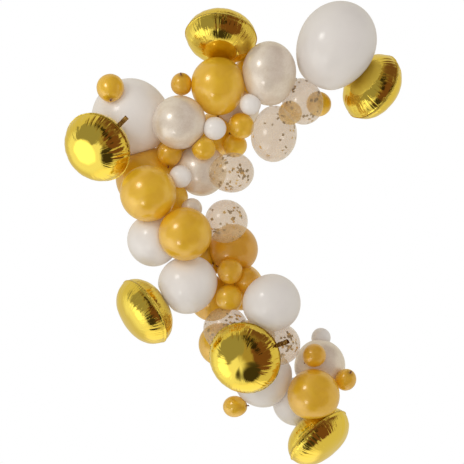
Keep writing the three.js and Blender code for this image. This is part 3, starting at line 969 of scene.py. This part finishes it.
# %% The flakes' finish
def flake_material():
    """Thin gold film with a painted reflection: a few flakes keep their gold, as if they caught the
    light, and most are painted almost black, a painted dark reflection of the room.
    """
    material, tree, film = new_material("gold_flake_painted_dark", {"Metallic": 0.8, "Roughness": 0.3})
    painted_glint = add_node(tree, "ShaderNodeAttribute", attribute_name="painted_glint")
    # painted dark reflection: most flakes go almost black, as if mirroring a dark room; the rest keep
    # their gold
    tone = add_ramp(tree, 0.62, (0.055, 0.022, 0.006), 0.82, (0.90, 0.55, 0.06))
    wire(tree, (painted_glint, "Fac", tone, "Fac"), (tone, "Color", film, "Base Color"))
    return material


flake_foil = flake_material()
print("flake finish:", flake_foil.name)

# %% Every piece gets its finish
finish_of = {"gold": gold_latex, "white": white_latex, "pearl": pearl_latex,
             "clear": clear_latex, "foil": gold_foil}
for balloon in balloons:
    piece = latex_pieces.get(balloon["name"]) or foil_pieces[balloon["name"]]
    piece.data.materials.append(finish_of[balloon["finish"]])
    if balloon["finish"] == "clear":
        # a clear skin takes almost no light from what is behind it
        piece.visible_shadow = False
        piece.visible_diffuse = False
for piece in flake_pieces:
    piece.data.materials.append(flake_foil)
print("finishes set on", len(balloons) + len(flake_pieces), "pieces")

# %% [markdown]
# ## The room in the mirrors
# A mirror shows its room, so the room matters as much as the gold. A real room would take many
# objects, so it is painted on the world as soft patches: a bright window low on the left, a pale
# floor, and dim and dark patches in front, where a camera and its helpers would stand. Only
# reflections see this room. The camera sees plain white, and diffuse light is an even warm fill.

# %% One soft patch
def soft_patch(tree, direction, inner, outer):
    """1 inside an angle from a direction and 0 outside another, from the dot product."""
    where = add_node(tree, "ShaderNodeTexCoord")
    dot = add_node(tree, "ShaderNodeVectorMath", {1: Vector(direction).normalized()},
                   operation="DOT_PRODUCT")
    edge = add_node(tree, "ShaderNodeMapRange", {"From Min": math.cos(math.radians(outer)),
                                                 "From Max": math.cos(math.radians(inner))},
                    interpolation_type="SMOOTHSTEP")
    wire(tree, (where, "Generated", dot, 0), (dot, "Value", edge, "Value"))
    return edge


print("the patch tool is ready:", soft_patch.__name__)

# %% The patches of the room
WALLS = (0.70, 0.64, 0.50)
PATCHES = [
    # direction, full inside and gone outside (degrees), colour
    ((-0.85, -0.30, -0.45), 30, 55, (1.0, 1.0, 1.0)),  # a wide window, low on the left
    ((0.00, 0.25, -0.97), 18, 36, (1.15, 1.08, 0.95)),  # the pale floor
    ((-0.10, -0.75, 0.66), 26, 44, (0.30, 0.23, 0.14)),  # the dim ceiling in front
    ((0.05, -0.97, -0.20), 24, 36, (0.40, 0.32, 0.20)),  # the far wall
    ((0.50, -0.85, -0.10), 36, 42, (0.17, 0.075, 0.05)),  # a brown curtain, in front on the right
    ((-0.77, -0.62, 0.13), 33, 36, (0.33, 0.31, 0.28)),  # a grey screen above the window
    ((-0.08, -0.80, 0.59), 10, 15, (0.03, 0.025, 0.02)),  # a dark lamp head
    ((0.06, -0.97, 0.20), 10, 15, (0.03, 0.02, 0.015)),  # the camera
    ((-0.10, -0.66, -0.74), 17, 26, (0.05, 0.04, 0.03)),  # its stand
    ((-0.82, -0.27, -0.50), 12, 20, (1.6, 1.6, 1.5)),  # the bright heart of the window
    ((0.50, -0.20, 0.85), 20, 45, (0.16, 0.08, 0.06)),  # the brown upper right corner
]


def paint_room(tree):
    """The walls' colour, with each patch mixed over what is there before it. Gives the last mix."""
    last = None
    for direction, inner, outer, patch in PATCHES:
        mix = add_node(tree, "ShaderNodeMix", {"A": (*WALLS, 1), "B": (*patch, 1)},
                       data_type="RGBA")
        wire(tree, (soft_patch(tree, direction, inner, outer), "Result", mix, "Factor"))
        if last is not None:
            wire(tree, (last, "Result", mix, "A"))
        last = mix
    return last


print("the room has", len(PATCHES), "patches")

# %% The world
FILL_COLOUR, FILL_STRENGTH = (1.0, 0.985, 0.96, 1), 0.58


def build_world():
    """Three backgrounds, chosen by the kind of ray: plain white for the camera, the fill for
    diffuse light and the room for reflections."""
    world = bpy.data.worlds.new("studio")
    world.use_nodes = True
    tree = world.node_tree
    room = tree.nodes["Background"]
    fill = add_node(tree, "ShaderNodeBackground", {"Color": FILL_COLOUR, "Strength": FILL_STRENGTH})
    plain = add_node(tree, "ShaderNodeBackground", {"Color": (1, 1, 1, 1)})
    path = add_node(tree, "ShaderNodeLightPath")
    fill_or_room, choose = (add_node(tree, "ShaderNodeMixShader") for _ in range(2))
    wire(
        tree,
        (paint_room(tree), "Result", room, "Color"),
        (path, "Is Diffuse Ray", fill_or_room, "Fac"),
        (room, "Background", fill_or_room, 1),
        (fill, "Background", fill_or_room, 2),
        (path, "Is Camera Ray", choose, "Fac"),
        (fill_or_room, "Shader", choose, 1),
        (plain, "Background", choose, 2),
        (choose, "Shader", tree.nodes["World Output"], "Surface"),
    )
    return world


bpy.context.scene.world = build_world()
bpy.context.scene.view_settings.view_transform = "Standard"
print("world:", bpy.context.scene.world.name)

# %% [markdown]
# ## Lamps
# The latex has two small bright highlights, one above the other, so two disc lamps stand on the
# left, one high and one low. Light linking keeps them off the foil, which mirrors the room's big
# window instead. The crevices between balloons are full of light that has gone through the skins.
# Real scattering is slow to render, so a few suns without shadows stand for it.

# %% Two lamps for the latex
GARLAND_MIDDLE = Vector((-0.02, -0.25, -0.63))
LAMP_DISTANCE, LAMP_COLOUR = 4.0, (1.0, 0.97, 0.93)
LAMPS = {
    # direction, size in metres, watts
    "lamp_left": ((-0.60, -0.62, 0.46), 1.0, 20),
    "lamp_low": ((-0.43, -0.70, -0.57), 0.9, 16),
}


def add_light(name, kind, direction, **fields):
    """A light that shines against a direction. Gives its object."""
    data = bpy.data.lights.new(name, kind)
    for field, value in fields.items():
        setattr(data, field, value)
    item = new_object(name, data)
    item.rotation_euler = Vector(direction).to_track_quat("Z", "Y").to_euler()
    return item


rubber = bpy.data.collections.new("lit_by_the_lamps")
for piece in latex_pieces.values():
    rubber.objects.link(piece)
for name, (direction, size, watts) in LAMPS.items():
    item = add_light(name, "AREA", direction, shape="DISK", size=size, energy=watts,
                     color=LAMP_COLOUR)
    item.location = GARLAND_MIDDLE + Vector(direction).normalized() * LAMP_DISTANCE
    item.light_linking.receiver_collection = rubber
print("lamps:", *LAMPS)

# %% Even light in the crevices
EVEN_LIGHTS = [
    # direction, strength
    ((-0.7, -0.6, -0.4), 0.55), ((0.75, -0.6, -0.3), 0.40), ((0.0, -0.6, 0.8), 0.35),
    ((0.0, 1.0, 0.2), 0.7), ((0.0, -0.3, -0.95), 0.3),
]
for number, (direction, strength) in enumerate(EVEN_LIGHTS):
    item = add_light(f"even_light_{number}", "SUN", direction, energy=strength,
                     angle=math.radians(60), use_shadow=False)
    item.visible_glossy = False
print(len(EVEN_LIGHTS), "even lights")

# %% [markdown]
# ## Floor and camera
# The pale floor lies well below the garland and out of its mirrors. The camera looks straight at
# the wall from 8 metres, with a long lens, so that the balloons keep their true outlines.

# %% The floor
FLOOR_HALF, FLOOR_LEVEL = 3, -2.6
corners = [(x * FLOOR_HALF, y * FLOOR_HALF, FLOOR_LEVEL)
           for x, y in ((-1, -1), (1, -1), (1, 1), (-1, 1))]
floor_mesh = bpy.data.meshes.new("pale_floor")
floor_mesh.from_pydata(corners, [], [(0, 1, 2, 3)])
floor = new_object("pale_floor", floor_mesh)
floor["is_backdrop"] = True
floor.visible_glossy = False
pale = {"Base Color": (0.86, 0.85, 0.83, 1), "Roughness": 0.8}
floor_mesh.materials.append(new_material("pale_floor_paint", pale)[0])
print("floor at", FLOOR_LEVEL, "m")

# %% The camera
CAMERA_DISTANCE, VIEW_WIDTH, SENSOR_WIDTH = 8.0, 2.32, 36.0
camera_data = bpy.data.cameras.new("camera")
camera_data.sensor_width = SENSOR_WIDTH
camera_data.lens = SENSOR_WIDTH * CAMERA_DISTANCE / VIEW_WIDTH
camera = new_object("camera", camera_data)
camera.location = GARLAND_MIDDLE + Vector((0, -CAMERA_DISTANCE, 0))
camera.rotation_euler = (math.pi / 2, 0, 0)
bpy.context.scene.camera = camera
print("camera lens", round(camera_data.lens, 1), "mm")

# %% The size it came to
low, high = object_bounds()
print("visual model, metres:", [round(h - l, 3) for l, h in zip(low, high)])
